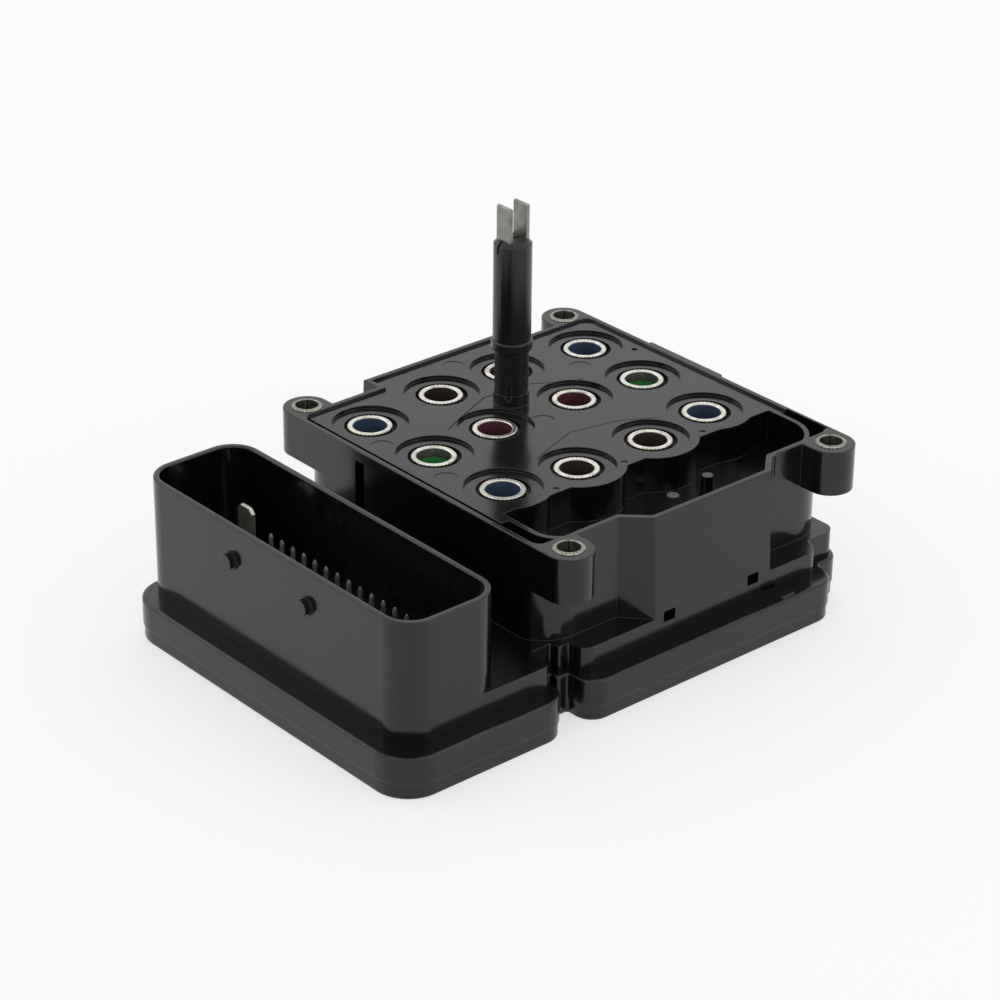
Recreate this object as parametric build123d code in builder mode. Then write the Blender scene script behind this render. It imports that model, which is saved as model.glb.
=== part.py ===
from build123d import *
import math
import os

os.makedirs("parts", exist_ok=True)

# Electronic control module of an anti-lock brake unit, millimetres.
# X runs along the connector, Y from the connector to the coils, Z up from the flat cover.
# The origin is the middle of the cover's bottom.

# Coil block seen from above, and the heights that everything stands at
block_depth = 80.0             # outside of the rim, front to back
block_half = 37.3              # middle to the outside of its side walls
block_top = 36.0               # rim above the cover's bottom
cover_height = 8.9
foot_top = 14.2

# Ledges and gaps that place the ends against each other
ledge = 4.0                    # cover edge to housing wall
boss_ledge = 1.7               # the same beside the fixing bosses
left_ledge = 0.9               # and at the connector's left end
back_ledge = 0.6
shroud_depth = 24.0
deck_gap = 12.8                # connector shroud to coil block
bulge = 4.6                    # the block's side walls stand out this much in the middle
bulge_foot = bulge + 1.1       # and lean out towards the foot
ear_reach = 2.7                # fixing centre beyond the block's side

# Overall size
length = ledge + shroud_depth + deck_gap + block_depth + back_ledge
half_width = block_half + bulge_foot + ledge
front = -length / 2
block_back = length / 2 - back_ledge
block_front = block_back - block_depth
coil_centre_y = (block_front + block_back) / 2

# Cover and the foot of the housing that stands on it
cover_floor = 2.0
cover_step = 3.2               # height of the slightly smaller bottom band
cover_step_depth = 0.25
cover_top_round = 0.6
cover_foot_round = 0.5
foot_wall = 2.0
deck_thickness = 1.9
connector_left = -block_half - ear_reach   # left edge of the cover at the connector end
connector_end = block_front + 0.2          # where the connector end stops
slot_depth = 8.5               # gap between the two ends, on the right side
lobe_front = block_front + 2.4
shoulder_front = block_front + 5.2
shoulder_back = block_back - 7.0
shoulder_step = 6.4            # the cover is this much narrower beyond its shoulders
corner_radius = 8.0
shroud_corner = 6.5
slot_corner = 5.0
shoulder_corner = 4.5
lobe_corner = 1.8
inner_corner = 1.2
gate_y = shoulder_back - 13.8  # gate stub on the right ledge
gate_inset = 1.4
gate_width = 3.4
gate_depth = 1.4
gate_height = 0.45

# Seal bead between cover and housing
seal_inset = 0.6
seal_width = 0.8
seal_depth = 0.8

# Connector shroud
shroud_top = 34.6
shroud_wall = 1.3
shroud_rim_round = 0.45
peg_spacing = 23.4
peg_shift = 0.25               # pegs against the shroud's middle
peg_height = 27.1
peg_radius = 1.6
peg_length = 1.4
peg_collar_radius = 1.95
peg_collar = 0.5
peg_groove = 0.3
code_rib_depth = 0.7
code_rib_drop = 0.9
code_ribs = [(-11.2, 2.2), (-4.4, 2.8), (4.8, 3.4), (19.2, 5.0)]   # place from the middle, width

# Coil block
block_wall = 2.0
block_corner = 9.5             # below the ears; the ears fill it out above
bulge_front = block_front + 20.6
bulge_back = block_back - 18.2
bulge_left_margin = 21.6       # the left side steps out square, this far from both ends
bulge_left_front = block_front + bulge_left_margin
bulge_left_back = block_back - bulge_left_margin
bulge_ramp = 5.0
rim_width = 1.2
rim_height = 0.6
rim_corner = 2.2
rim_round = 0.25
rim_groove_width = 1.25        # groove inside the front rim
rim_groove_depth = 1.2
plate_thickness = 3.2
rim_post_radius = 1.1          # small post where the right bulge ends
rim_post_drop = 4.5
mark_radius = 2.35             # ejector marks in the coil plate
mark_depth = 0.12
marks = [
    (-16.5, block_front + 6.0), (2.5, block_front + 6.7), (-block_half + 0.9, coil_centre_y + 1.2),
    (-19.2, block_back - 18.5), (-4.8, coil_centre_y - 1.6),
]
dimple_radius = 0.7            # small marks at the tips between the scallops
dimple_depth = 0.2
dimple_rows = (-0.65, -0.06, 0.635)   # places between the coil rows, shares of the clear room
score_width = 0.3              # fine steps scored across the coil plate
score_depth = 0.15
left_score = [(-13.4, -19.4), (-15.4, -15.4), (-20.3, -4.2), (-19.6, 7.3), (-16.0, 13.0), (-14.0, 17.7)]
right_score = [(7.8, -14.8), (3.0, -1.2), (4.5, 5.6), (5.4, 10.3), (9.4, 16.9)]
vent_x = -18.2                 # small blind hole in the coil plate
vent_y = block_back - 3.9
vent_radius = 0.6
vent_depth = 1.0
recess_left = -17.6            # hollow under the rim's lip on the front wall
recess_right = 33.0
recess_lip = 1.7
recess_depth = 1.1
back_pad_left = -17.6
back_pad_right = 3.8
back_pad = 0.5
back_pad_height = 6.0

# Fixing bosses and their compression limiters
boss_radius = 4.9
boss_bottom = 26.4
bolt_x = 2 * (block_half + ear_reach)
bolt_y = block_depth - 2 * boss_radius
bolt_shift = 0.5               # the bolt pattern sits a little to the right
ear_hollow_web = 0.7           # web left at the back of the right rear ear
ear_hollow_start = 24.0
ear_hollow_depth = 8.0
front_hollow_end = 2.1         # hollow ahead of the pocket: distance of its end from the block's side
limiter_radius = 2.95
limiter_bore = 2.35
limiter_proud = 0.4
limiter_slit = 0.3
limiter_slit_angle = 49.0      # the slits point away from the connector's right end
limiter_clearance = 0.02

# Coils: outer rows and inner rows, placed from the line midway between the rows
can_radius = 7.3
coil_room = block_depth / 2 - block_wall - can_radius   # clear room from that line to a front coil
outer_row_x = [share * block_half for share in (-0.705, -0.198, 0.330)]
outer_row_y = [share * coil_room for share in (0.953, 0.917, 0.884)]
inner_row_x = [share * block_half for share in (-0.759, -0.244, 0.393)]
inner_row_y = [share * coil_room for share in (0.290, 0.350, 0.322)]
coil_recess_radius = 7.9
coil_recess_depth = 0.7
window_radius = 5.4
window_shift = 0.1             # the coils float a little towards the front left
can_wall = 1.1
can_lid = 1.6
can_bottom = 14.1
ring_radius = 4.6
ring_bore = 3.5
ring_top = 34.85
bobbin_wall = 0.6
bobbin_flange = 1.2
bobbin_clearance = 0.1
bobbin_lift = 0.6              # bobbin foot above the can's open end
winding_radius = 5.7
leg_size = 0.7
leg_reach = 4.9                # the terminal legs' distance from the coil's axis
leg_hole_radius = 0.65
flush_sleeve = 0.3             # bare steel above the bobbin in the bore
deep_sleeve = 2.3
deep_coils = (2, 11)
coil_travel = 0.5

# Coil springs
spring_wire = 0.6
spring_turns = 1.5
spring_gap = 0.02

# Open pocket beside the coils
pocket_floor = 27.8
pocket_floor_thickness = 1.8
pocket_left = 0.568 * block_half
pocket_front = block_front + 5.3
pocket_back = block_back - 3.2
pocket_corner = 5.5
pocket_back_corner = 8.0
scallop_radius = 9.8
scallop_wall = 1.0
stud_x = block_half - 6.6
stud_y = coil_centre_y + 10.5
stud_radius = 1.5
stud_height = 5.0
stud_taper = 4.0
stud_round = 0.6

# Slots low in the right wall
wall_slots_y = (bulge_front + 8.8, bulge_back - 9.7)
wall_slot_width = 3.0
wall_slot_depth = 5.0
wall_slot_bottom = 12.8
wall_slot_height = 2.3

# Motor connector tower
tower_x = -0.4236 * block_half
tower_y = coil_centre_y - 0.6
tower_top = 71.3
tower_radius = 3.93
tower_neck_radius = 3.5
tower_root_radius = 3.2        # goes down through the collar; the neck stands on the collar's top
tower_collar_radius = 3.75
tower_collar_top = 38.0
tower_neck_top = 47.4
tower_clearance = 0.05
tower_chamfer = 0.9
tower_split = 0.5
tower_seal_height = 2.2
tower_seal_radius = 4.25
seal_round = 0.4
tower_seal_seat = 3.3
blade_top = 78.7
blade_width = 4.0
blade_shank = 2.4
blade_shoulder = 68.8
blade_thickness = 0.8
blade_spacing = 4.4
blade_tip = 0.3
blade_clearance = 0.04

# Inside: coil retainer, circuit board and its chips
retainer_thickness = 1.9
retainer_clearance = 0.4
stake_radius = 1.0
stake_head_radius = 1.6
stake_head = 0.8
stake_clearance = 0.05
stake_x = block_half + 1.5
stake_front = bulge_front - 6.9
stake_back = bulge_back + 2.9
retainer_front = block_front + 0.6
board_thickness = 1.6
board_bottom = 5.4
board_clearance = 0.5
post_radius = 2.0
post_inset = 4.5
post_pin_radius = 0.8
post_pin = 2.2
chip_size = 10.0
chip_height = 1.2
chip_spacing = 16.0
chip_y = block_front - deck_gap / 2

# Connector contacts
pin_pitch = 3.5
pin_rows = 3.5
pin_size = 0.64
pin_count = 14                 # in the two outer rows; the middle row has one more
contact_shift = 3.35           # contacts sit a little right of the shroud's middle
blade_contact_inset = 10.35
pin_top = 24.3
pin_nose = 0.6
pin_taper = 18.0
pin_end = 4.8
blade_contact_width = 4.8
blade_contact_thickness = 0.8
blade_contact_top = 27.3
blade_nose = 1.0
contact_clearance = 0.05

# Derived places
foot_left = connector_left + left_ledge
foot_half = half_width - ledge
foot_front = front + ledge
deck_bottom = foot_top - deck_thickness
plate_top = block_top - rim_height
plate_bottom = plate_top - plate_thickness
recess_floor = plate_top - coil_recess_depth
block_middle = (block_front + block_back) / 2
boss_reach = ear_reach + block_corner + 2 * bolt_shift
ear_hollow_end = block_half + ear_reach + bolt_shift - boss_radius
groove_left = -block_half + rim_width
groove_length = ear_hollow_end - groove_left
groove_middle = (ear_hollow_end + groove_left) / 2
front_hollow_length = block_half - front_hollow_end - ear_hollow_start
back_hollow_length = ear_hollow_end - ear_hollow_start
dimples = [(pocket_left - 2 * dimple_radius, coil_centre_y + share * coil_room) for share in dimple_rows]
board_top = board_bottom + board_thickness
retainer_bottom = deck_bottom - retainer_thickness
shroud_middle = foot_front + shroud_depth / 2
shroud_width = foot_half - foot_left
shroud_x = (foot_half + foot_left) / 2
contact_centre = shroud_x + contact_shift
blade_contact_offset = shroud_width / 2 - blade_contact_inset
peg_points = [(shroud_x + peg_shift + s * peg_spacing / 2, peg_height) for s in (-1, 1)]
bore_wall = ring_bore + bobbin_wall
bolt_points = [
    (bolt_shift + sx * bolt_x / 2, block_middle + sy * bolt_y / 2)
    for sx in (-1, 1)
    for sy in (-1, 1)
]
coil_points = (
    [(x, coil_centre_y - y) for x, y in zip(outer_row_x, outer_row_y)]
    + [(x, coil_centre_y - y) for x, y in zip(inner_row_x, inner_row_y)]
    + [(x, coil_centre_y + y) for x, y in zip(inner_row_x, inner_row_y)]
    + [(x, coil_centre_y + y) for x, y in zip(outer_row_x, outer_row_y)]
)
window_points = [(x + window_shift, y + window_shift) for x, y in coil_points]
right_windows = [window_points[i] for i in (2, 5, 8, 11)]
outer_pins_x = [contact_centre + (i - (pin_count - 1) / 2) * pin_pitch for i in range(pin_count)]
middle_pins_x = [contact_centre + (i - pin_count / 2) * pin_pitch for i in range(pin_count + 1)]
pin_points = (
    [(x, shroud_middle - pin_rows) for x in outer_pins_x]
    + [(x, shroud_middle) for x in middle_pins_x]
    + [(x, shroud_middle + pin_rows) for x in outer_pins_x]
)
blade_contact_points = [
    (contact_centre + sx * blade_contact_offset, shroud_middle + sy * pin_rows)
    for sx in (-1, 1)
    for sy in (-1, 1)
]
blade_points = [(tower_x, tower_y + s * blade_spacing / 2) for s in (-1, 1)]
leg_points = [(x + s * leg_reach, y) for x, y in coil_points for s in (-1, 1)]
post_points = [
    (foot_left + post_inset, foot_front + post_inset),
    (foot_half - post_inset, foot_front + post_inset),
    (-block_half + post_inset, shoulder_back),
    (block_half - post_inset, shoulder_back),
]
stake_points = [(sx * stake_x, y) for sx in (-1, 1) for y in (stake_front, stake_back)]


def plan_outline(edge, left, lobe, rear, nose):
    """Outline seen from above, set in from the cover's edge by its ledges."""
    right = half_width - edge
    lobe_x = half_width - shoulder_step - lobe
    slot_x = half_width - slot_depth - lobe
    back_y = length / 2 - rear
    corners = [
        ((connector_left + left, front + edge), nose),
        ((right, front + edge), nose),
        ((right, connector_end - lobe), max(slot_corner - edge, inner_corner)),
        ((slot_x, connector_end - lobe), inner_corner),
        ((slot_x, lobe_front + lobe), inner_corner / 2),
        ((lobe_x, lobe_front + lobe), lobe_corner / 2),
        ((lobe_x, shoulder_front + lobe), inner_corner / 2),
        ((right, shoulder_front + lobe), shoulder_corner - lobe),
        ((right, shoulder_back - lobe), slot_corner - lobe),
        ((lobe_x, shoulder_back - lobe), inner_corner),
        ((lobe_x, back_y), shoulder_corner - lobe),
        ((-lobe_x, back_y), shoulder_corner - lobe),
        ((-lobe_x, shoulder_back - lobe), inner_corner),
        ((-right, shoulder_back - lobe), slot_corner - lobe),
        ((-right, shoulder_front + lobe), shoulder_corner - lobe),
        ((connector_left + left, shoulder_front + lobe), inner_corner / 2),
    ]
    return corners


def block_outline(inset, stand_out, corner=block_corner):
    """Plan of the coil block's walls, set in by a distance, with the side bulges standing out."""
    near = block_front + inset
    far = block_back - inset
    side = block_half - inset
    out = side + stand_out
    right_side = [
        ((side, near), corner - inset),
        ((side, bulge_front + inset / 2), 0),
        ((out, bulge_front + bulge_ramp + inset / 2), 0),
        ((out, bulge_back - bulge_ramp - inset / 2), 0),
        ((side, bulge_back - inset / 2), 0),
        ((side, far), corner - inset),
    ]
    left_side = [
        ((-side, far), corner - inset),
        ((-side, bulge_left_back - inset), 0),
        ((-out, bulge_left_back - inset), 0),
        ((-out, bulge_left_front + inset), 0),
        ((-side, bulge_left_front + inset), 0),
        ((-side, near), corner - inset),
    ]
    corners = right_side + left_side
    return corners


def pocket_outline():
    """Plan of the open pocket before the scallops round the coils are taken from it."""
    side = block_half - rim_width
    out = side + bulge
    corners = [
        ((pocket_left, pocket_front), 0),
        ((side, pocket_front), pocket_corner),
        ((side, bulge_front + rim_width / 2), 0),
        ((out, bulge_front + bulge_ramp + rim_width / 2), 0),
        ((out, bulge_back - bulge_ramp - rim_width / 2), 0),
        ((side, bulge_back - rim_width / 2), 0),
        ((side, pocket_back), pocket_back_corner),
        ((pocket_left, pocket_back), 0),
    ]
    return corners


def face_of(corners, inset=0):
    """Flat face with these rounded corners, set in by a distance."""
    with BuildSketch() as plan:
        with BuildLine():
            FilletPolyline(
                *[point for point, _ in corners],
                radius=[radius for _, radius in corners],
                close=True,
            )
        make_face()
        if inset:
            offset(amount=-inset, kind=Kind.INTERSECTION, mode=Mode.REPLACE)
    return plan.sketch


cover_band = plan_outline(*[cover_step_depth] * 4, corner_radius - cover_step_depth)
cover_plan = plan_outline(0, 0, 0, 0, corner_radius)
foot_plan = plan_outline(ledge, left_ledge, boss_ledge, back_ledge, shroud_corner)

# Cover: a shallow tray with a wide rim, glued to the housing round its edge
with BuildPart() as cover:
    with BuildSketch():
        add(face_of(cover_band))
    extrude(amount=cover_step)
    fillet(faces().sort_by(Axis.Z)[0].edges(), radius=cover_foot_round)
    with BuildSketch(Plane.XY.offset(cover_step)):
        add(face_of(cover_plan))
    extrude(amount=cover_height - cover_step)
    fillet(faces().sort_by(Axis.Z)[-1].edges(), radius=cover_top_round)
    with BuildSketch(Plane.XY.offset(cover_height)):
        with Locations((half_width - gate_inset, gate_y)):
            RectangleRounded(gate_depth, gate_width, gate_depth / 3)
    extrude(amount=gate_height)
    with BuildSketch(Plane.XY.offset(cover_floor)):
        add(face_of(foot_plan, foot_wall))
    extrude(amount=cover_height, mode=Mode.SUBTRACT)
    with BuildSketch(Plane.XY.offset(cover_height - seal_depth)):
        add(face_of(foot_plan, seal_inset))
        add(face_of(foot_plan, seal_inset + seal_width), mode=Mode.SUBTRACT)
    extrude(amount=seal_depth, mode=Mode.SUBTRACT)
    with BuildSketch(Plane.XY.offset(cover_floor)):
        with Locations(*post_points):
            Circle(post_radius)
    extrude(amount=board_bottom - cover_floor)
    with BuildSketch(Plane.XY.offset(board_bottom)):
        with Locations(*post_points):
            Circle(post_pin_radius)
    extrude(amount=post_pin)
cover.part.label = "cover"
export_step(cover.part, "parts/cover.step")

# Seal bead in the cover's groove
with BuildPart() as cover_seal:
    with BuildSketch(Plane.XY.offset(cover_height - seal_depth)):
        add(face_of(foot_plan, seal_inset))
        add(face_of(foot_plan, seal_inset + seal_width), mode=Mode.SUBTRACT)
    extrude(amount=seal_depth)
cover_seal.part.label = "cover_seal"
export_step(cover_seal.part, "parts/cover_seal.step")

# Housing: foot, connector shroud and coil block in one moulding
with BuildPart() as housing:
    with BuildSketch(Plane.XY.offset(cover_height)):
        add(face_of(foot_plan))
    extrude(amount=foot_top - cover_height)
    with BuildSketch(Plane.XY.offset(foot_top)):
        with Locations((shroud_x, shroud_middle)):
            RectangleRounded(shroud_width, shroud_depth, shroud_corner)
    extrude(amount=shroud_top - foot_top)
    with BuildSketch(Plane.XY.offset(foot_top)):
        add(face_of(block_outline(0, bulge_foot)))
    with BuildSketch(Plane.XY.offset(block_top)):
        add(face_of(block_outline(0, bulge)))
    loft(ruled=True)
    # Ears for the fixings
    with BuildSketch(Plane.XY.offset(boss_bottom)):
        with Locations(*bolt_points):
            Circle(boss_radius)
        with Locations(*[(x - math.copysign(boss_reach / 2, x), y) for x, y in bolt_points]):
            Rectangle(boss_reach, 2 * boss_radius)
    extrude(amount=block_top - boss_bottom)
    with BuildSketch(Plane.XY.offset(block_top - rim_post_drop)):
        with Locations((block_half - rim_width / 2, bulge_back)):
            Circle(rim_post_radius)
    extrude(amount=rim_post_drop)
    # Shallow top inside the rim
    with BuildSketch(Plane.XY.offset(plate_top)):
        add(face_of(block_outline(rim_width, bulge, rim_width + rim_corner)))
    extrude(amount=rim_height, mode=Mode.SUBTRACT)
    # Open pocket beside the right coils
    with BuildSketch(Plane.XY.offset(pocket_floor)):
        add(face_of(pocket_outline()))
        with Locations(*right_windows):
            Circle(scallop_radius, mode=Mode.SUBTRACT)
    extrude(amount=block_top - pocket_floor, mode=Mode.SUBTRACT)
    with BuildSketch(Plane.XY.offset(pocket_floor)):
        with Locations((stud_x, stud_y)):
            Circle(stud_radius)
    extrude(amount=stud_height, taper=stud_taper)
    # Hollow under the deck, under the block and under the coil plate
    with BuildSketch(Plane.XY.offset(cover_height)):
        add(face_of(foot_plan, foot_wall))
    extrude(amount=deck_bottom - cover_height, mode=Mode.SUBTRACT)
    with BuildSketch(Plane.XY.offset(deck_bottom)):
        add(face_of(block_outline(block_wall, bulge)))
    extrude(amount=pocket_floor - pocket_floor_thickness - deck_bottom, mode=Mode.SUBTRACT)
    with BuildSketch(Plane.XY.offset(pocket_floor - pocket_floor_thickness)):
        add(face_of(block_outline(block_wall, bulge)))
        with Locations((pocket_left - scallop_wall + half_width, block_middle)):
            Rectangle(2 * half_width, length, mode=Mode.SUBTRACT)
        with Locations(*right_windows):
            Circle(scallop_radius - scallop_wall)
    extrude(amount=plate_bottom - pocket_floor + pocket_floor_thickness, mode=Mode.SUBTRACT)
    # Coil windows, each with a wide shallow recess
    with BuildSketch(Plane.XY.offset(recess_floor)):
        with Locations(*window_points):
            Circle(coil_recess_radius)
    extrude(amount=coil_recess_depth, mode=Mode.SUBTRACT)
    with BuildSketch(Plane.XY.offset(plate_bottom)):
        with Locations(*window_points):
            Circle(window_radius)
    extrude(amount=plate_thickness, mode=Mode.SUBTRACT)
    with BuildSketch(Plane.XY.offset(plate_top - vent_depth)):
        with Locations((vent_x, vent_y)):
            Circle(vent_radius)
    extrude(amount=vent_depth, mode=Mode.SUBTRACT)
    with BuildSketch(Plane.XY.offset(plate_top - mark_depth)):
        with Locations(*marks):
            Circle(mark_radius)
    extrude(amount=mark_depth, mode=Mode.SUBTRACT)
    with BuildSketch(Plane.XY.offset(plate_top - dimple_depth)):
        with Locations(*dimples):
            Circle(dimple_radius)
    extrude(amount=dimple_depth, mode=Mode.SUBTRACT)
    with BuildSketch(Plane.XY.offset(plate_top - score_depth)):
        with BuildLine():
            Polyline(*[(x, coil_centre_y + y) for x, y in left_score])
        trace(line_width=score_width)
    extrude(amount=score_depth, mode=Mode.SUBTRACT)
    with BuildSketch(Plane.XY.offset(plate_top - score_depth)):
        with BuildLine():
            Polyline(*[(x, coil_centre_y + y) for x, y in right_score])
        trace(line_width=score_width)
    extrude(amount=score_depth, mode=Mode.SUBTRACT)
    # Collar round the motor connector tower
    with BuildSketch(Plane.XY.offset(plate_top)):
        with Locations((tower_x, tower_y)):
            Circle(tower_collar_radius)
    extrude(amount=tower_collar_top - plate_top)
    with BuildSketch(Plane.XY.offset(plate_bottom)):
        with Locations((tower_x, tower_y)):
            Circle(tower_root_radius + tower_clearance)
    extrude(amount=tower_collar_top - plate_bottom, mode=Mode.SUBTRACT)
    fillet(edges().filter_by_position(Axis.Z, block_top, block_top, (True, True)), radius=rim_round)
    # Groove inside the front rim, and narrow hollows before and behind the pocket's wall
    with BuildSketch(Plane.XY.offset(plate_top - rim_groove_depth)):
        with Locations((groove_middle, block_front + rim_width + rim_groove_width / 2)):
            Rectangle(groove_length, rim_groove_width)
    extrude(amount=rim_groove_depth, mode=Mode.SUBTRACT)
    with BuildSketch(Plane.XY.offset(block_top - ear_hollow_depth)):
        with Locations((ear_hollow_start, block_front + block_wall + scallop_wall / 8)):
            Rectangle(front_hollow_length, pocket_corner, align=(Align.MIN, Align.MIN))
        with Locations((ear_hollow_start, block_back - ear_hollow_web)):
            Rectangle(back_hollow_length, pocket_corner, align=(Align.MIN, Align.MAX))
        add(face_of(pocket_outline(), -scallop_wall), mode=Mode.SUBTRACT)
    extrude(amount=ear_hollow_depth, mode=Mode.SUBTRACT)
    # Bores for the compression limiters
    with BuildSketch(Plane.XY.offset(boss_bottom)):
        with Locations(*bolt_points):
            Circle(limiter_radius + limiter_clearance)
    extrude(amount=block_top - boss_bottom, mode=Mode.SUBTRACT)
    # Hollow on the front wall under the rim's lip
    with BuildSketch(Plane.XY.offset(foot_top)):
        with Locations(((recess_left + recess_right) / 2, block_front)):
            Rectangle(recess_right - recess_left, 2 * recess_depth)
    extrude(amount=plate_top - recess_lip - foot_top, mode=Mode.SUBTRACT)
    # Pad on the back edge of the rim
    with BuildSketch(Plane.XY.offset(block_top - back_pad_height)):
        with Locations(((back_pad_left + back_pad_right) / 2, block_back)):
            Rectangle(back_pad_right - back_pad_left, 2 * back_pad)
    extrude(amount=back_pad_height)
    # Inside of the shroud
    with BuildSketch(Plane.XY.offset(foot_top)):
        with Locations((shroud_x, shroud_middle)):
            RectangleRounded(
                shroud_width - 2 * shroud_wall,
                shroud_depth - 2 * shroud_wall,
                shroud_corner - shroud_wall,
            )
    extrude(amount=shroud_top - foot_top, mode=Mode.SUBTRACT)
    fillet(
        edges().filter_by_position(Axis.Z, shroud_top, shroud_top, (True, True)).filter_by_position(
            Axis.Y, foot_front, foot_front + shroud_depth, (True, True)
        ),
        radius=shroud_rim_round,
    )
    # Coding ribs inside the front wall
    for rib_x, rib_width in code_ribs:
        with BuildSketch(Plane.XY.offset(foot_top)):
            with Locations((shroud_x + rib_x, foot_front + shroud_wall)):
                Rectangle(rib_width, 2 * code_rib_depth)
        extrude(amount=shroud_top - foot_top - code_rib_drop)
    # Pegs on the outside of the front wall
    with BuildSketch(Plane.XZ.offset(-foot_front)):
        with Locations(*peg_points):
            Circle(peg_collar_radius)
    extrude(amount=peg_collar)
    with BuildSketch(Plane.XZ.offset(-foot_front)):
        with Locations(*peg_points):
            Circle(peg_radius - peg_groove)
    extrude(amount=peg_length)
    with BuildSketch(Plane.XZ.offset(-foot_front + peg_collar + peg_groove)):
        with Locations(*peg_points):
            Circle(peg_radius)
    extrude(amount=peg_length - peg_collar - peg_groove)
    # Holes for the contacts through the deck
    with BuildSketch(Plane.XY.offset(deck_bottom)):
        with Locations(*pin_points):
            Rectangle(pin_size + 2 * contact_clearance, pin_size + 2 * contact_clearance)
        with Locations(*blade_contact_points):
            Rectangle(
                blade_contact_width + 2 * contact_clearance,
                blade_contact_thickness + 2 * contact_clearance,
            )
    extrude(amount=deck_thickness, mode=Mode.SUBTRACT)
    # Two slots low in the right wall
    for slot_y in wall_slots_y:
        with BuildSketch(Plane.XY.offset(wall_slot_bottom)):
            with Locations((foot_half, slot_y)):
                Rectangle(wall_slot_depth, wall_slot_width)
        extrude(amount=wall_slot_height, mode=Mode.SUBTRACT)
    # Stakes that hold the coil retainer
    with BuildSketch(Plane.XY.offset(retainer_bottom)):
        with Locations(*stake_points):
            Circle(stake_radius)
    extrude(amount=retainer_thickness)
    with BuildSketch(Plane.XY.offset(retainer_bottom - stake_head)):
        with Locations(*stake_points):
            Circle(stake_head_radius)
    extrude(amount=stake_head)
housing.part.label = "housing"
export_step(housing.part, "parts/housing.step")

# Compression limiters: rolled steel bushings
with BuildPart() as compression_limiters:
    with BuildSketch(Plane.XY.offset(boss_bottom)):
        with Locations(*bolt_points):
            Circle(limiter_radius)
        with Locations(*bolt_points):
            Circle(limiter_bore, mode=Mode.SUBTRACT)
        with Locations(*[Location((x, y), limiter_slit_angle) for x, y in bolt_points]):
            Rectangle(
                limiter_slit,
                limiter_radius + limiter_slit,
                align=(Align.CENTER, Align.MIN),
                mode=Mode.SUBTRACT,
            )
    extrude(amount=block_top + limiter_proud - boss_bottom)
compression_limiters.part.label = "compression_limiters"
export_step(compression_limiters.part, "parts/compression_limiters.step")

# Coil retainer: a plate under the coils, staked to the housing
with BuildPart() as coil_retainer:
    with BuildSketch(Plane.XY.offset(retainer_bottom)):
        add(face_of(foot_plan, foot_wall + retainer_clearance))
        with Locations((0, retainer_front - length / 2)):
            Rectangle(4 * half_width, length, mode=Mode.SUBTRACT)
        with Locations(*stake_points):
            Circle(stake_radius + stake_clearance, mode=Mode.SUBTRACT)
        with Locations(*leg_points):
            Circle(leg_hole_radius, mode=Mode.SUBTRACT)
        with Locations(*blade_points):
            Rectangle(
                blade_shank + 2 * blade_clearance,
                blade_thickness + 2 * blade_clearance,
                mode=Mode.SUBTRACT,
            )
    extrude(amount=retainer_thickness)
coil_retainer.part.label = "coil_retainer"
export_step(coil_retainer.part, "parts/coil_retainer.step")

# Circuit board with its four chips
with BuildPart() as circuit_board:
    with BuildSketch(Plane.XY.offset(board_bottom)):
        add(face_of(foot_plan, foot_wall + board_clearance))
        with Locations(*post_points):
            Circle(post_pin_radius + contact_clearance, mode=Mode.SUBTRACT)
        with Locations(*leg_points):
            Circle(leg_hole_radius, mode=Mode.SUBTRACT)
        with Locations(*pin_points):
            Rectangle(
                pin_size + 2 * contact_clearance,
                pin_size + 2 * contact_clearance,
                mode=Mode.SUBTRACT,
            )
        with Locations(*blade_contact_points):
            Rectangle(
                blade_contact_width + 2 * contact_clearance,
                blade_contact_thickness + 2 * contact_clearance,
                mode=Mode.SUBTRACT,
            )
        with Locations(*blade_points):
            Rectangle(
                blade_shank + 2 * blade_clearance,
                blade_thickness + 2 * blade_clearance,
                mode=Mode.SUBTRACT,
            )
    extrude(amount=board_thickness)
    with BuildSketch(Plane.XY.offset(board_top)):
        with Locations((0, chip_y)):
            with GridLocations(chip_spacing, 1, 4, 1):
                Rectangle(chip_size, chip_size)
    extrude(amount=chip_height)
circuit_board.part.label = "circuit_board"
export_step(circuit_board.part, "parts/circuit_board.step")

# Motor connector tower
with BuildPart() as motor_tower:
    with BuildSketch(Plane.XY.offset(deck_bottom)):
        with Locations((tower_x, tower_y)):
            Circle(tower_root_radius)
    extrude(amount=tower_collar_top - deck_bottom)
    with BuildSketch(Plane.XY.offset(tower_collar_top)):
        with Locations((tower_x, tower_y)):
            Circle(tower_neck_radius)
    extrude(amount=tower_neck_top - tower_collar_top)
    with BuildSketch(Plane.XY.offset(tower_neck_top)):
        with Locations((tower_x, tower_y)):
            Circle(tower_radius)
    extrude(amount=tower_top - tower_neck_top)
    chamfer(edges().group_by(Axis.Z)[-1], length=tower_chamfer)
    with BuildSketch(Plane.XY.offset(tower_neck_top)):
        with Locations((tower_x, tower_y)):
            Circle(tower_radius)
            Circle(tower_seal_seat, mode=Mode.SUBTRACT)
    extrude(amount=tower_seal_height, mode=Mode.SUBTRACT)
    with BuildSketch(Plane.XY.offset(deck_bottom)):
        with Locations(*blade_points):
            Rectangle(blade_shank + 2 * blade_clearance, blade_thickness + 2 * blade_clearance)
    extrude(amount=tower_top - deck_bottom, mode=Mode.SUBTRACT)
    with BuildSketch(Plane.XY.offset(blade_shoulder)):
        with Locations(*blade_points):
            Rectangle(blade_width + 2 * blade_clearance, blade_thickness + 2 * blade_clearance)
        with Locations((tower_x, tower_y)):
            Rectangle(tower_split, 3 * tower_radius)
    extrude(amount=tower_top - blade_shoulder, mode=Mode.SUBTRACT)
motor_tower.part.label = "motor_tower"
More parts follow.
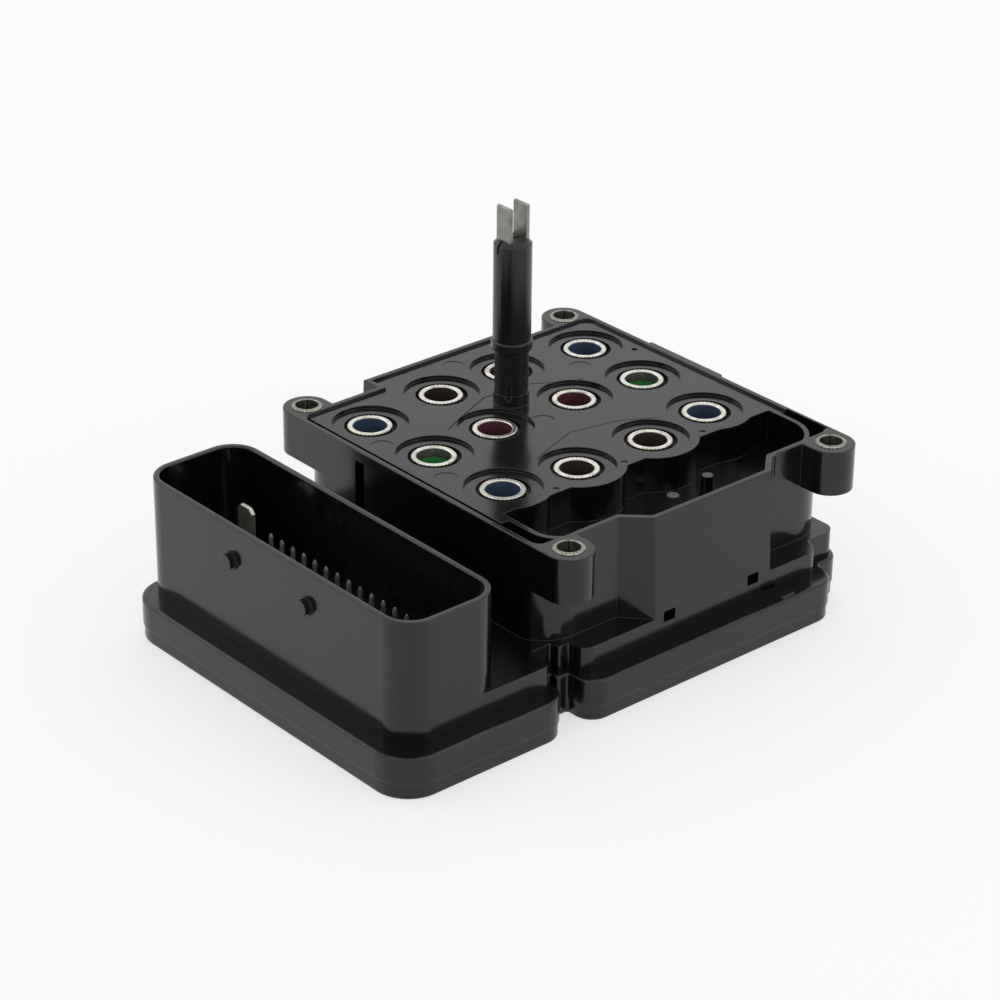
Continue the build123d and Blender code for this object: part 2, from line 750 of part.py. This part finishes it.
export_step(motor_tower.part, "parts/motor_tower.step")

# Seal ring on the tower
with BuildPart() as tower_seal:
    with BuildSketch(Plane.XY.offset(tower_neck_top)):
        with Locations((tower_x, tower_y)):
            Circle(tower_seal_radius)
            Circle(tower_seal_seat, mode=Mode.SUBTRACT)
    extrude(amount=tower_seal_height)
    fillet(edges().filter_by(GeomType.CIRCLE).group_by(SortBy.RADIUS)[-1], radius=seal_round)
tower_seal.part.label = "tower_seal"
export_step(tower_seal.part, "parts/tower_seal.step")

# Motor blades: wide heads on narrower shanks that run down to the board
with BuildPart() as motor_blades:
    with BuildSketch(Plane.XY.offset(pin_end)):
        with Locations(*blade_points):
            Rectangle(blade_shank, blade_thickness)
    extrude(amount=blade_shoulder - pin_end)
    with BuildSketch(Plane.XY.offset(blade_shoulder)):
        with Locations(*blade_points):
            Rectangle(blade_width, blade_thickness)
    extrude(amount=blade_top - blade_shoulder)
    chamfer(edges().group_by(Axis.Z)[-1].filter_by(Axis.X), length=blade_tip)
motor_blades.part.label = "motor_blades"
export_step(motor_blades.part, "parts/motor_blades.step")

# Power blades in the connector
with BuildPart() as power_blades:
    with BuildSketch(Plane.XY.offset(pin_end)):
        with Locations(*blade_contact_points):
            Rectangle(blade_contact_width, blade_contact_thickness)
    extrude(amount=blade_contact_top - pin_end)
    chamfer(edges().group_by(Axis.Z)[-1].filter_by(Axis.Y), length=blade_nose)
power_blades.part.label = "power_blades"
export_step(power_blades.part, "parts/power_blades.step")

# Signal pins in three rows
with BuildPart() as signal_pins:
    with BuildSketch(Plane.XY.offset(pin_end)):
        with Locations(*pin_points):
            Rectangle(pin_size, pin_size)
    extrude(amount=pin_top - pin_nose - pin_end)
    with BuildSketch(Plane.XY.offset(pin_top - pin_nose)):
        with Locations(*pin_points):
            Rectangle(pin_size, pin_size)
    extrude(amount=pin_nose, taper=pin_taper)
signal_pins.part.label = "signal_pins"
export_step(signal_pins.part, "parts/signal_pins.step")


def build_coil(number, point):
    """Valve coil: steel can with its ring, bobbin, winding and spring."""
    depth = deep_sleeve if number in deep_coils else flush_sleeve
    legs = [(point[0] + s * leg_reach, point[1]) for s in (-1, 1)]
    bobbin_foot = can_bottom + bobbin_lift
    bobbin_head = plate_bottom - can_lid

    with BuildPart() as coil_yoke:
        with BuildSketch(Plane.XY.offset(can_bottom)):
            with Locations(point):
                Circle(can_radius)
        extrude(amount=plate_bottom - can_bottom)
        with BuildSketch(Plane.XY.offset(plate_bottom)):
            with Locations(point):
                Circle(ring_radius)
        extrude(amount=ring_top - plate_bottom)
        with BuildSketch(Plane.XY.offset(can_bottom)):
            with Locations(point):
                Circle(can_radius - can_wall)
        extrude(amount=bobbin_head - can_bottom, mode=Mode.SUBTRACT)
        with BuildSketch(Plane.XY.offset(bobbin_head)):
            with Locations(point):
                Circle(bore_wall)
        extrude(amount=ring_top - depth - bobbin_head, mode=Mode.SUBTRACT)
        with BuildSketch(Plane.XY.offset(ring_top - depth)):
            with Locations(point):
                Circle(ring_bore)
        extrude(amount=depth, mode=Mode.SUBTRACT)
    coil_yoke.part.label = f"coil_yoke_{number}"
    export_step(coil_yoke.part, f"parts/coil_yoke_{number}.step")

    with BuildPart() as coil_bobbin:
        with BuildSketch(Plane.XY.offset(bobbin_foot)):
            with Locations(point):
                Circle(bore_wall)
        extrude(amount=ring_top - depth - bobbin_foot)
        with BuildSketch(Plane.XY.offset(bobbin_foot)):
            with Locations(point):
                Circle(can_radius - can_wall - bobbin_clearance)
        extrude(amount=bobbin_flange)
        with BuildSketch(Plane.XY.offset(bobbin_head - bobbin_flange)):
            with Locations(point):
                Circle(can_radius - can_wall - bobbin_clearance)
        extrude(amount=bobbin_flange)
        with BuildSketch(Plane.XY.offset(bobbin_foot)):
            with Locations(point):
                Circle(ring_bore)
        extrude(amount=ring_top - depth - bobbin_foot, mode=Mode.SUBTRACT)
        with BuildSketch(Plane.XY.offset(bobbin_foot)):
            with Locations(*legs):
                Rectangle(leg_size, leg_size)
        extrude(amount=bobbin_flange, mode=Mode.SUBTRACT)
    coil_bobbin.part.label = f"coil_bobbin_{number}"
    export_step(coil_bobbin.part, f"parts/coil_bobbin_{number}.step")

    with BuildPart() as coil_winding:
        with BuildSketch(Plane.XY.offset(bobbin_foot + bobbin_flange)):
            with Locations(point):
                Circle(winding_radius)
                Circle(bore_wall, mode=Mode.SUBTRACT)
        extrude(amount=bobbin_head - bobbin_foot - 2 * bobbin_flange)
        with BuildSketch(Plane.XY.offset(pin_end)):
            with Locations(*legs):
                Rectangle(leg_size, leg_size)
        extrude(amount=bobbin_foot + bobbin_flange - pin_end)
    coil_winding.part.label = f"coil_winding_{number}"
    export_step(coil_winding.part, f"parts/coil_winding_{number}.step")

    spring_height = can_bottom - deck_bottom - spring_wire - 2 * spring_gap
    spring_foot = (*point, deck_bottom + spring_gap + spring_wire / 2)
    with BuildPart() as coil_spring:
        with BuildLine() as path:
            Helix(spring_height / spring_turns, spring_height, can_radius - can_wall / 2, center=spring_foot)
        with BuildSketch(Plane(path.line @ 0, z_dir=path.line % 0)):
            Circle(spring_wire / 2)
        sweep()
    coil_spring.part.label = f"coil_spring_{number}"
    export_step(coil_spring.part, f"parts/coil_spring_{number}.step")


for number, point in enumerate(coil_points, start=1):
    build_coil(number, point)
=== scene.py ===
import math

import bmesh
import bpy
from mathutils import Matrix, Vector


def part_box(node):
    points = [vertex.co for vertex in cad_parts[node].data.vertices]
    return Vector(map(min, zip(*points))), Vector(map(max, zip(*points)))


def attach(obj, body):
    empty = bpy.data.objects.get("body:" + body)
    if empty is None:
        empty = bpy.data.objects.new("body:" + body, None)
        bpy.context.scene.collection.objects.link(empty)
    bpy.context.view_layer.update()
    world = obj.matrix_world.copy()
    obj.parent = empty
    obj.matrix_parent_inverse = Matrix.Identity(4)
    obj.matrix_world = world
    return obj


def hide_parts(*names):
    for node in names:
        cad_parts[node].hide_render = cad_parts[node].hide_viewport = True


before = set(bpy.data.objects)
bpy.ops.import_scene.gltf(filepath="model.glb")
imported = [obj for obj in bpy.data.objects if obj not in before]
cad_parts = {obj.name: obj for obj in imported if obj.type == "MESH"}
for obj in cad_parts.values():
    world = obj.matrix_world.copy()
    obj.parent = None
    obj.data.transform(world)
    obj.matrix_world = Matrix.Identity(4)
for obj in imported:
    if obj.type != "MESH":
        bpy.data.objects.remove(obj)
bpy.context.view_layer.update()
mm = 0.001
print("frame loaded:", len(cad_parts), "nodes")


# the camera that fits the photo
camera = {
    "place": (0.43256, -0.37315, 0.31926),   # metres, in the part's frame
    "lens": 115.9,                           # mm, for a square picture
    "sensor": 36,                            # mm
    "azimuth": 48.99,                        # degrees, like the next two
    "elevation": 27.24,
    "roll": 0.56,
    "nearest": 0.01,                         # metres, anything closer is cut off
}


def makeCamera(values):
    azimuth, elevation, roll = (math.radians(values[k]) for k in ("azimuth", "elevation", "roll"))
    back = Vector((
        math.sin(azimuth) * math.cos(elevation),
        -math.cos(azimuth) * math.cos(elevation),
        math.sin(elevation)))
    right = Vector((math.cos(azimuth), math.sin(azimuth), 0))
    up = back.cross(right)
    rolledRight = right * math.cos(roll) + up * math.sin(roll)
    rolledUp = up * math.cos(roll) - right * math.sin(roll)
    data = bpy.data.cameras.new("photoCamera")
    data.sensor_width = values["sensor"]
    data.sensor_fit = "HORIZONTAL"
    data.lens = values["lens"]
    data.clip_start = values["nearest"]
    obj = bpy.data.objects.new("photoCamera", data)
    turn = Matrix((rolledRight, rolledUp, back)).transposed().to_4x4()
    obj.matrix_world = Matrix.Translation(values["place"]) @ turn
    bpy.context.collection.objects.link(obj)
    bpy.context.scene.camera = obj


makeCamera(camera)
print("camera made")


def toLinear(code):
    parts = [int(code[i:i + 2], 16) / 255 for i in (1, 3, 5)]
    return [c / 12.92 if c <= 0.04045 else ((c + 0.055) / 1.055) ** 2.4 for c in parts] + [1.0]


def addNode(tree, kind, settings=None, links=None):
    node = tree.nodes.new(kind)
    for name, value in (settings or {}).items():
        if isinstance(name, int) or name in node.inputs:
            node.inputs[name].default_value = value
        else:
            setattr(node, name, value)
    for name, source in (links or {}).items():
        tree.links.new(source, node.inputs[name])
    return node


def startMaterial(name):
    material = bpy.data.materials.new(name)
    material.use_nodes = True
    tree = material.node_tree
    tree.nodes.clear()
    where = addNode(tree, "ShaderNodeTexCoord").outputs["Object"]
    return material, tree, where


def endMaterial(tree, shader):
    addNode(tree, "ShaderNodeOutputMaterial", links={"Surface": shader.outputs[0]})


def perMillimetre(size):
    return 1 / (size * mm)                   # texture scale for a feature of this size


# In the finishes below, grain, flow, patch, turned and edge are sizes in millimetres.
# The real grain of the tool and of the plating is below 0.1 mm, and the real turned lines
# lie 0.1 to 0.2 mm apart: both are drawn coarser, so that they show.
noiseLow, noiseHigh = 0.3, 0.7               # most of a noise lies between these

moulding = {
    "relief": 0.05,                          # mm, height of the grain
    "bevelSamples": 4,
    "flat": 0.99,                            # agreement of true and rounded normal on a flat
    "sharp": 0.8,                            # and where an edge gets the full painted highlight
}


def mouldedMaterial(name, values):
    material, tree, where = startMaterial(name)
    grain = addNode(
        tree, "ShaderNodeTexNoise",
        {"Scale": perMillimetre(values["grain"]), "Detail": 3.0},
        {"Vector": where})
    flow = addNode(
        tree, "ShaderNodeTexNoise",
        {"Scale": perMillimetre(values["flow"]), "Detail": 4.0, "Roughness": 0.6},
        {"Vector": where})
    edge = addNode(
        tree, "ShaderNodeBevel",
        {"Radius": values["edge"] * mm, "samples": moulding["bevelSamples"]})
    relief = addNode(
        tree, "ShaderNodeBump",
        {"Strength": values["bump"], "Distance": moulding["relief"] * mm},
        {"Height": grain.outputs["Fac"], "Normal": edge.outputs["Normal"]})
    face = addNode(tree, "ShaderNodeNewGeometry")
    agreement = addNode(
        tree, "ShaderNodeVectorMath", {"operation": "DOT_PRODUCT"},
        {0: edge.outputs["Normal"], 1: face.outputs["Normal"]})
    # painted highlight: the colour turns towards the second colour along rounded edges, where light catches
    # them
    edgeHighlight = addNode(
        tree, "ShaderNodeMapRange",
        {"From Min": moulding["flat"], "From Max": moulding["sharp"], "To Max": values["edgeHighlightShare"]},
        {"Value": agreement.outputs["Value"]})
    sheen = addNode(
        tree, "ShaderNodeMapRange",
        {"From Min": noiseLow, "From Max": noiseHigh, "To Min": values["smooth"], "To Max": values["rough"]},
        {"Value": flow.outputs["Fac"]})
    tint = addNode(
        tree, "ShaderNodeMix",
        {"data_type": "RGBA", 6: toLinear(values["colour"]), 7: toLinear(values["edgeHighlightColour"])},
        {0: edgeHighlight.outputs["Result"]})
    shader = addNode(
        tree, "ShaderNodeBsdfPrincipled",
        {"IOR": values["ior"], "Specular IOR Level": values["specular"]},
        {
            "Base Color": tint.outputs[2],
            "Roughness": sheen.outputs["Result"],
            "Normal": relief.outputs["Normal"],
        })
    endMaterial(tree, shader)
    return material


plating = {
    "relief": 0.03,                          # mm, height of the grain
    "stainLow": 0.45,                        # patches of stain start and are full at these
    "stainHigh": 0.75,
    "lineRelief": 0.04,                      # mm, height of turned lines
    "lineStrength": 0.7,
    "linePeriod": 0.314,                     # at scale 1 the wave repeats after this length
}


def metalMaterial(name, values):
    material, tree, where = startMaterial(name)
    grain = addNode(
        tree, "ShaderNodeTexNoise",
        {"Scale": perMillimetre(values["grain"]), "Detail": 4.0},
        {"Vector": where})
    patch = addNode(
        tree, "ShaderNodeTexNoise",
        {"Scale": perMillimetre(values["patch"]), "Detail": 3.0},
        {"Vector": where})
    spread = addNode(
        tree, "ShaderNodeMapRange",
        {"From Min": plating["stainLow"], "From Max": plating["stainHigh"]},
        {"Value": patch.outputs["Fac"]})
    tint = addNode(
        tree, "ShaderNodeMix",
        {"data_type": "RGBA", 6: toLinear(values["colour"]), 7: toLinear(values["stain"])},
        {0: spread.outputs["Result"]})
    sheen = addNode(
        tree, "ShaderNodeMapRange",
        {"From Min": noiseLow, "From Max": noiseHigh, "To Min": values["smooth"], "To Max": values["rough"]},
        {"Value": grain.outputs["Fac"]})
    relief = addNode(
        tree, "ShaderNodeBump",
        {"Strength": values["bump"], "Distance": plating["relief"] * mm},
        {"Height": grain.outputs["Fac"]})
    if "turned" in values:
        lines = addNode(
            tree, "ShaderNodeTexWave",
            {"bands_direction": "Z", "Scale": plating["linePeriod"] * perMillimetre(values["turned"])},
            {"Vector": where})
        relief = addNode(
            tree, "ShaderNodeBump",
            {"Strength": plating["lineStrength"], "Distance": plating["lineRelief"] * mm},
            {"Height": lines.outputs["Fac"], "Normal": relief.outputs["Normal"]})
    shader = addNode(
        tree, "ShaderNodeBsdfPrincipled",
        {"Metallic": 1.0},
        {
            "Base Color": tint.outputs[2],
            "Roughness": sheen.outputs["Result"],
            "Normal": relief.outputs["Normal"],
        })
    endMaterial(tree, shader)
    return material


# every moulded finish below lightens its rounded edges to its second colour: a painted highlight
# PBT with 30 % glass fibre, moulded against a polished tool: near-black and glossy, with a fine grain
housingPbt = mouldedMaterial("pbtPolishedToolBlack", {
    "colour": "#0c0c0d", "edgeHighlightColour": "#3e3e40", "edgeHighlightShare": 0.45, "grain": 0.3, "flow": 14, "edge": 0.22,
    "bump": 0.16, "smooth": 0.11, "rough": 0.2, "ior": 1.5, "specular": 0.5})
# the same PBT from a slightly duller tool: the flat cover mirrors a little less sharply
coverPbt = mouldedMaterial("pbtSatinToolBlack", {
    "colour": "#0c0c0d", "edgeHighlightColour": "#464648", "edgeHighlightShare": 0.5, "grain": 0.4, "flow": 18, "edge": 0.4,
    "bump": 0.16, "smooth": 0.13, "rough": 0.22, "ior": 1.5, "specular": 0.5})
# unfilled PBT, moulded and handled more: softer sheen on the slim tower
towerPbt = mouldedMaterial("pbtHandledMouldedBlack", {
    "colour": "#0a0a0b", "edgeHighlightColour": "#3c3c3e", "edgeHighlightShare": 0.4, "grain": 0.5, "flow": 9, "edge": 0.18,
    "bump": 0.12, "smooth": 0.2, "rough": 0.32, "ior": 1.5, "specular": 0.5})
# polyamide, moulded, hidden retainer: dull black
retainerPolyamide = mouldedMaterial("polyamideMouldedBlack", {
    "colour": "#1c1c1e", "edgeHighlightColour": "#444446", "edgeHighlightShare": 0.3, "grain": 0.4, "flow": 10, "edge": 0.2,
    "bump": 0.3, "smooth": 0.42, "rough": 0.58, "ior": 1.53, "specular": 0.4})
# silicone rubber, press moulded: soft dull black
sealRubber = mouldedMaterial("siliconeMouldedBlack", {
    "colour": "#161617", "edgeHighlightColour": "#303032", "edgeHighlightShare": 0.3, "grain": 0.3, "flow": 5, "edge": 0.15,
    "bump": 0.3, "smooth": 0.4, "rough": 0.55, "ior": 1.43, "specular": 0.4})
# glass epoxy board under solder mask: green, with the smooth shine of lacquer
boardLaminate = mouldedMaterial("solderMaskOnLaminate", {
    "colour": "#1c5a33", "edgeHighlightColour": "#3b7a4c", "edgeHighlightShare": 0.3, "grain": 0.8, "flow": 6, "edge": 0.1,
    "bump": 0.1, "smooth": 0.25, "rough": 0.4, "ior": 1.52, "specular": 0.5})
# polyamide bobbins, moulded in the four colours that sort the valves: slight gloss inside the bore
bobbinPolyamide = {
    name: mouldedMaterial("polyamideMoulded" + name.capitalize(), {
        "colour": colour, "edgeHighlightColour": edgeHighlight, "edgeHighlightShare": 0.4, "grain": 0.45, "flow": 3, "edge": 0.1,
        "bump": 0.3, "smooth": 0.25, "rough": 0.45, "ior": 1.53, "specular": 0.5})
    for name, colour, edgeHighlight in (
        ("blue", "#3d4c63", "#64748c"), ("green", "#3a9c4a", "#62b66e"),
        ("red", "#58303a", "#7c5058"), ("dark", "#3a2f2c", "#5c504c"))}

# free-cutting steel, turned and zinc plated: bright with a warm grey bloom
plateZinc = metalMaterial("steelTurnedZincPlated", {
    "colour": "#dcdad2", "stain": "#a8a598", "grain": 0.25, "patch": 1.6,
    "smooth": 0.24, "rough": 0.42, "bump": 0.35})
# the same steel on the bore faces, bored: a darker grey than the top, which is painted shade inside the
# bore, with fine turned lines
shadedBoreSteel = metalMaterial("steelBoredZincPlatedShaded", {
    "colour": "#8c8b86", "stain": "#6a6964", "grain": 0.25, "patch": 1.2,
    "smooth": 0.4, "rough": 0.55, "bump": 0.3, "turned": 0.45})
# strip steel, rolled into bushings and zinc plated: greyer, more scuffed
bushZinc = metalMaterial("steelRolledZincPlated", {
    "colour": "#9d9b92", "stain": "#66645c", "grain": 0.3, "patch": 1.1,
    "smooth": 0.3, "rough": 0.5, "bump": 0.5})
# brass strip, stamped and tin plated: pale grey, soft reflections
contactTin = metalMaterial("brassStampedTinPlated", {
    "colour": "#e2dfd6", "stain": "#b6b3a8", "grain": 0.35, "patch": 2.2,
    "smooth": 0.34, "rough": 0.52, "bump": 0.3})
# the same strip on the long motor blades, handled more: darker grey
bladeTin = metalMaterial("brassStampedTinDull", {
    "colour": "#8f8e89", "stain": "#6e6d68", "grain": 0.35, "patch": 2.6,
    "smooth": 0.3, "rough": 0.48, "bump": 0.3})
# copper wire, drawn, under clear enamel: warm red-brown shine
windingCopper = metalMaterial("copperDrawnEnamelled", {
    "colour": "#b8693c", "stain": "#8a4a28", "grain": 0.3, "patch": 1.5,
    "smooth": 0.3, "rough": 0.42, "bump": 0.4})
# spring steel wire, drawn and left bare: even mid grey
springSteel = metalMaterial("steelDrawnBare", {
    "colour": "#9c9c9c", "stain": "#747474", "grain": 0.2, "patch": 1.0,
    "smooth": 0.25, "rough": 0.4, "bump": 0.3})
print("materials made")


def dress(node, material):
    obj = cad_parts[node]
    if not obj.material_slots:
        obj.data.materials.append(material)
    for slot in obj.material_slots:
        slot.material = material


boreColours = [
    "blue", "green", "blue", "dark", "red", "dark",
    "dark", "red", "dark", "blue", "green", "blue"]
plainNodes = {
    "housing": housingPbt, "cover": coverPbt, "cover_seal": sealRubber, "tower_seal": towerPbt,
    "motor_tower": towerPbt, "coil_retainer": retainerPolyamide, "circuit_board": boardLaminate,
    "motor_blades": bladeTin, "power_blades": contactTin, "signal_pins": contactTin,
    "compression_limiters": bushZinc}
for node, material in plainNodes.items():
    dress(node, material)
for number, colour in enumerate(boreColours, start=1):
    dress(f"coil_yoke_{number}", plateZinc)
    dress(f"coil_bobbin_{number}", bobbinPolyamide[colour])
    dress(f"coil_winding_{number}", windingCopper)
    dress(f"coil_spring_{number}", springSteel)
print("CAD nodes dressed")


# all sizes from here to the stage are in millimetres
sharpAngle = 32                              # degrees, steeper edges stay sharp
toothSteps, gapSteps = 4, 2                  # steps of the lathe per tooth, and those cut back


def meshPiece(name, points, faces, material, body):
    data = bpy.data.meshes.new(name)
    data.from_pydata([[v * mm for v in p] for p in points], [], faces)
    shape = bmesh.new()
    shape.from_mesh(data)
    bmesh.ops.recalc_face_normals(shape, faces=shape.faces)
    shape.to_mesh(data)
    shape.free()
    data.materials.append(material)
    obj = bpy.data.objects.new(name, data)
    bpy.context.collection.objects.link(obj)
    data.shade_smooth()
    data.set_sharp_from_angle(angle=math.radians(sharpAngle))
    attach(obj, body)
    return obj


def latheRing(profile, centre, steps, toothed=(), depth=0.0):
    points, faces = [], []
    for k in range(steps):
        angle = 2 * math.pi * k / steps
        for j, (r, z) in enumerate(profile):
            if j in toothed and k % toothSteps < gapSteps:
                r = r - depth
            points.append((centre[0] + r * math.cos(angle), centre[1] + r * math.sin(angle), z))
    n = len(profile)
    for k in range(steps):
        for j in range(n):
            here, onward = k * n, ((k + 1) % steps) * n
            faces.append((here + j, here + (j + 1) % n, onward + (j + 1) % n, onward + j))
    return points, faces


ring = {
    "outer": 4.6,                            # radii
    "bore": 3.5,
    "can": 7.3,
    "sleeveBore": 4.1,
    "shoulder": 32.2,                        # height of the can's top
    "lid": 1.6,                              # thickness of that top
    "canWall": 1.1,
    "canEdge": 0.3,                          # chamfers
    "outerEdge": 0.14,
    "innerEdge": 0.16,
    "innerShare": 0.6,                       # most that the inner one takes of a short bore
    "flushSleeve": 0.3,                      # length of the steel bore above the bobbin
    "deepSleeve": 2.3,
    "deepCoils": (2, 11),                    # the coils whose bobbin starts deep down
    "teeth": 34,
    "toothDepth": 0.16,
    "toothFoot": 0.05,                       # plain band under the teeth
    "toothedPoints": (4, 5, 6),              # points of the profile that the gaps cut back
    "boreFace": 8,                           # step of the profile that is the bore
}


def makeYoke(number, values):
    node = f"coil_yoke_{number}"
    low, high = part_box(node)
    centre = [(low[k] + high[k]) / 2 / mm for k in range(2)]
    bottom, top = low[2] / mm, high[2] / mm
    rim, bore, can, shoulder = (values[k] for k in ("outer", "bore", "can", "shoulder"))
    outerEdge, canEdge = values["outerEdge"], values["canEdge"]
    depth = values["deepSleeve"] if number in values["deepCoils"] else values["flushSleeve"]
    innerDrop = min(values["innerEdge"], depth * values["innerShare"])
    under = shoulder - values["lid"]
    inside = can - values["canWall"]
    profile = [
        (can, bottom), (can, shoulder - canEdge), (can - canEdge, shoulder), (rim, shoulder),
        (rim, shoulder + values["toothFoot"]), (rim, top - outerEdge), (rim - outerEdge, top),
        (bore + values["innerEdge"], top), (bore, top - innerDrop), (bore, top - depth),
        (values["sleeveBore"], top - depth), (values["sleeveBore"], under),
        (inside, under), (inside, bottom)]
    steps = values["teeth"] * toothSteps
    points, faces = latheRing(profile, centre, steps, values["toothedPoints"], values["toothDepth"])
    piece = meshPiece(f"toothedRing{number}", points, faces, plateZinc, f"coil_{number}")
    # the bore faces take the darker steel: painted shade inside the bore
    piece.data.materials.append(shadedBoreSteel)
    for k, face in enumerate(piece.data.polygons):
        if k % len(profile) == values["boreFace"]:
            face.material_index = 1
    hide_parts(node)


for number in range(1, len(boreColours) + 1):
    makeYoke(number, ring)
print("toothed rings made")

bushing = {
    "bore": 2.35,                            # radii
    "top": 2.72,                             # outside of the bright top ring
    "flange": 3.2,                           # knurled rim that bites into the ear
    "shaft": 2.93,
    "edge": 2.95,                            # outside of the bushings in the frame
    "proud": 0.4,                            # how far the bushing stands above the ear
    "lift": 0.015,                           # keeps the rim's underside off the ear's face
    "rimHeight": 0.1,
    "slope": (0.14, 0.22),                   # foot of the slope: out from the top ring, up from the ear
    "topEdge": (0.06, 0.05),                 # chamfers, across and down
    "boreEdge": (0.1, 0.12),
    "knurl": 0.17,                           # depth of the knurling
    "knurledPoints": (2, 3, 4),              # points of the profile that it cuts back
    "steps": 96,
    "slit": 139,                             # direction of the rolled seam, degrees
    "slitWidth": 5.2,                        # degrees
}


def makeBushings(values):
    low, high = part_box("compression_limiters")
    x0, y0, foot = (v / mm for v in low)
    x1, y1, top = (v / mm for v in high)
    ear = top - values["proud"] + values["lift"]
    bore, outside, rim, shaft, reach = (values[k] for k in ("bore", "top", "flange", "shaft", "edge"))
    slopeOut, slopeUp = values["slope"]
    topIn, topDown = values["topEdge"]
    boreOut, boreDown = values["boreEdge"]
    profile = [
        (shaft, foot), (shaft, ear), (rim, ear), (rim, ear + values["rimHeight"]),
        (outside + slopeOut, ear + slopeUp), (outside, top - topDown), (outside - topIn, top),
        (bore + boreOut, top), (bore, top - boreDown), (bore, foot)]
    n, steps = len(profile), values["steps"]
    firstAngle = values["slit"] + values["slitWidth"] / 2
    sweep = 360 - values["slitWidth"]
    points, faces = [], []
    for cx in (x0 + reach, x1 - reach):
        for cy in (y0 + reach, y1 - reach):
            start = len(points)
            for k in range(steps + 1):
                angle = math.radians(firstAngle + sweep * k / steps)
                for j, (r, z) in enumerate(profile):
                    if j in values["knurledPoints"] and k % toothSteps < gapSteps:
                        r = r - values["knurl"]
                    points.append((cx + r * math.cos(angle), cy + r * math.sin(angle), z))
            for k in range(steps):
                for j in range(n):
                    a, b = start + k * n + j, start + k * n + (j + 1) % n
                    faces.append((a, b, b + n, a + n))
            for end in (start, start + steps * n):
                faces.append(tuple(range(end, end + n)))
    piece = meshPiece("rolledBushings", points, faces, bushZinc, "module")
    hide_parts("compression_limiters")


makeBushings(bushing)
print("bushings made")


# PBT where an ejector pin pressed the pocket's floor: pale, dull disc
markPbt = mouldedMaterial("pbtEjectorMark", {
    "colour": "#77777a", "edgeHighlightColour": "#8c8c8e", "edgeHighlightShare": 0.3, "grain": 0.3, "flow": 4, "edge": 0.05,
    "bump": 0.2, "smooth": 0.4, "rough": 0.55, "ior": 1.5, "specular": 0.5})
disc = {
    "place": (25.71, 26.14),
    "radius": 1.25,
    "hole": 0.02,                            # left open by the lathe, too small to see
    "floor": 27.8,
    "height": 0.05,
    "steps": 48,
}


def makeDisc(values):
    hole, radius, floor = values["hole"], values["radius"], values["floor"]
    top = floor + values["height"]
    profile = [(hole, floor), (radius, floor), (radius, top), (hole, top)]
    points, faces = latheRing(profile, values["place"], values["steps"])
    meshPiece("pocketDisc", points, faces, markPbt, "module")


makeDisc(disc)
print("pocket disc made")

# white studio: pale floor, even sky, weak softboxes; sizes in metres
stage = {
    "floorSize": 6.0,
    "floorColour": "#f2f2f2",
    "glow": 0.62,                            # share of the floor that shines by itself in the picture
    "worldForLight": 0.85,                   # sky for the light that falls on the part
    "worldForEye": 1.0,                      # sky for the picture and for mirrored rays
}
white = (1, 1, 1, 1)


def lookingRays(tree):
    rays = addNode(tree, "ShaderNodeLightPath")
    near = addNode(
        tree, "ShaderNodeMath", {"operation": "MAXIMUM"},
        {0: rays.outputs["Is Camera Ray"], 1: rays.outputs["Is Glossy Ray"]})
    return addNode(
        tree, "ShaderNodeMath", {"operation": "MAXIMUM"},
        {0: near.outputs[0], 1: rays.outputs["Is Transmission Ray"]})


def makeFloor(values):
    half = values["floorSize"] / 2
    corners = [(-half, -half, 0), (half, -half, 0), (half, half, 0), (-half, half, 0)]
    data = bpy.data.meshes.new("studioFloor")
    data.from_pydata(corners, [], [(0, 1, 2, 3)])
    floor = bpy.data.objects.new("studioFloor", data)
    bpy.context.collection.objects.link(floor)
    # painted paper: matt white, with a glow that only the eye and mirrored rays see
    material, tree, _ = startMaterial("paperSweepPainted")
    paint = addNode(tree, "ShaderNodeBsdfDiffuse", {"Color": toLinear(values["floorColour"])})
    glow = addNode(tree, "ShaderNodeEmission", {"Color": white, "Strength": 1.0})
    seen = lookingRays(tree)
    share = addNode(
        tree, "ShaderNodeMath", {"operation": "MULTIPLY", 1: values["glow"]},
        {0: seen.outputs[0]})
    blend = addNode(
        tree, "ShaderNodeMixShader",
        links={0: share.outputs[0], 1: paint.outputs[0], 2: glow.outputs[0]})
    endMaterial(tree, blend)
    data.materials.append(material)


def makeSky(values):
    world = bpy.data.worlds.new("studioSky")
    bpy.context.scene.world = world
    world.use_nodes = True
    tree = world.node_tree
    tree.nodes.clear()
    dim, bright = (
        addNode(tree, "ShaderNodeBackground", {"Color": white, "Strength": values[k]})
        for k in ("worldForLight", "worldForEye"))
    seen = lookingRays(tree)
    blend = addNode(
        tree, "ShaderNodeMixShader",
        links={0: seen.outputs[0], 1: dim.outputs[0], 2: bright.outputs[0]})
    addNode(tree, "ShaderNodeOutputWorld", links={"Surface": blend.outputs[0]})


makeFloor(stage)
makeSky(stage)

# softboxes: places and sizes in metres, power in watts
lampAim = (0, 0, 0.02)
lamps = {
    "topSoftbox": {"place": (-0.25, 0.35, 0.9), "size": 0.7, "power": 1.5},
    "leftSoftbox": {"place": (-0.7, -0.45, 0.5), "size": 0.5, "power": 0.6},
    "rightSoftbox": {"place": (0.75, 0.3, 0.35), "size": 0.45, "power": 0.5},
}
for name, values in lamps.items():
    light = bpy.data.lights.new(name, "AREA")
    light.shape = "SQUARE"
    light.size = values["size"]
    light.energy = values["power"]
    lamp = bpy.data.objects.new(name, light)
    lamp.location = values["place"]
    beam = Vector(values["place"]) - Vector(lampAim)
    lamp.rotation_euler = beam.to_track_quat("Z", "Y").to_euler()
    bpy.context.collection.objects.link(lamp)
bpy.context.scene.view_settings.view_transform = "Standard"
print("stage made")
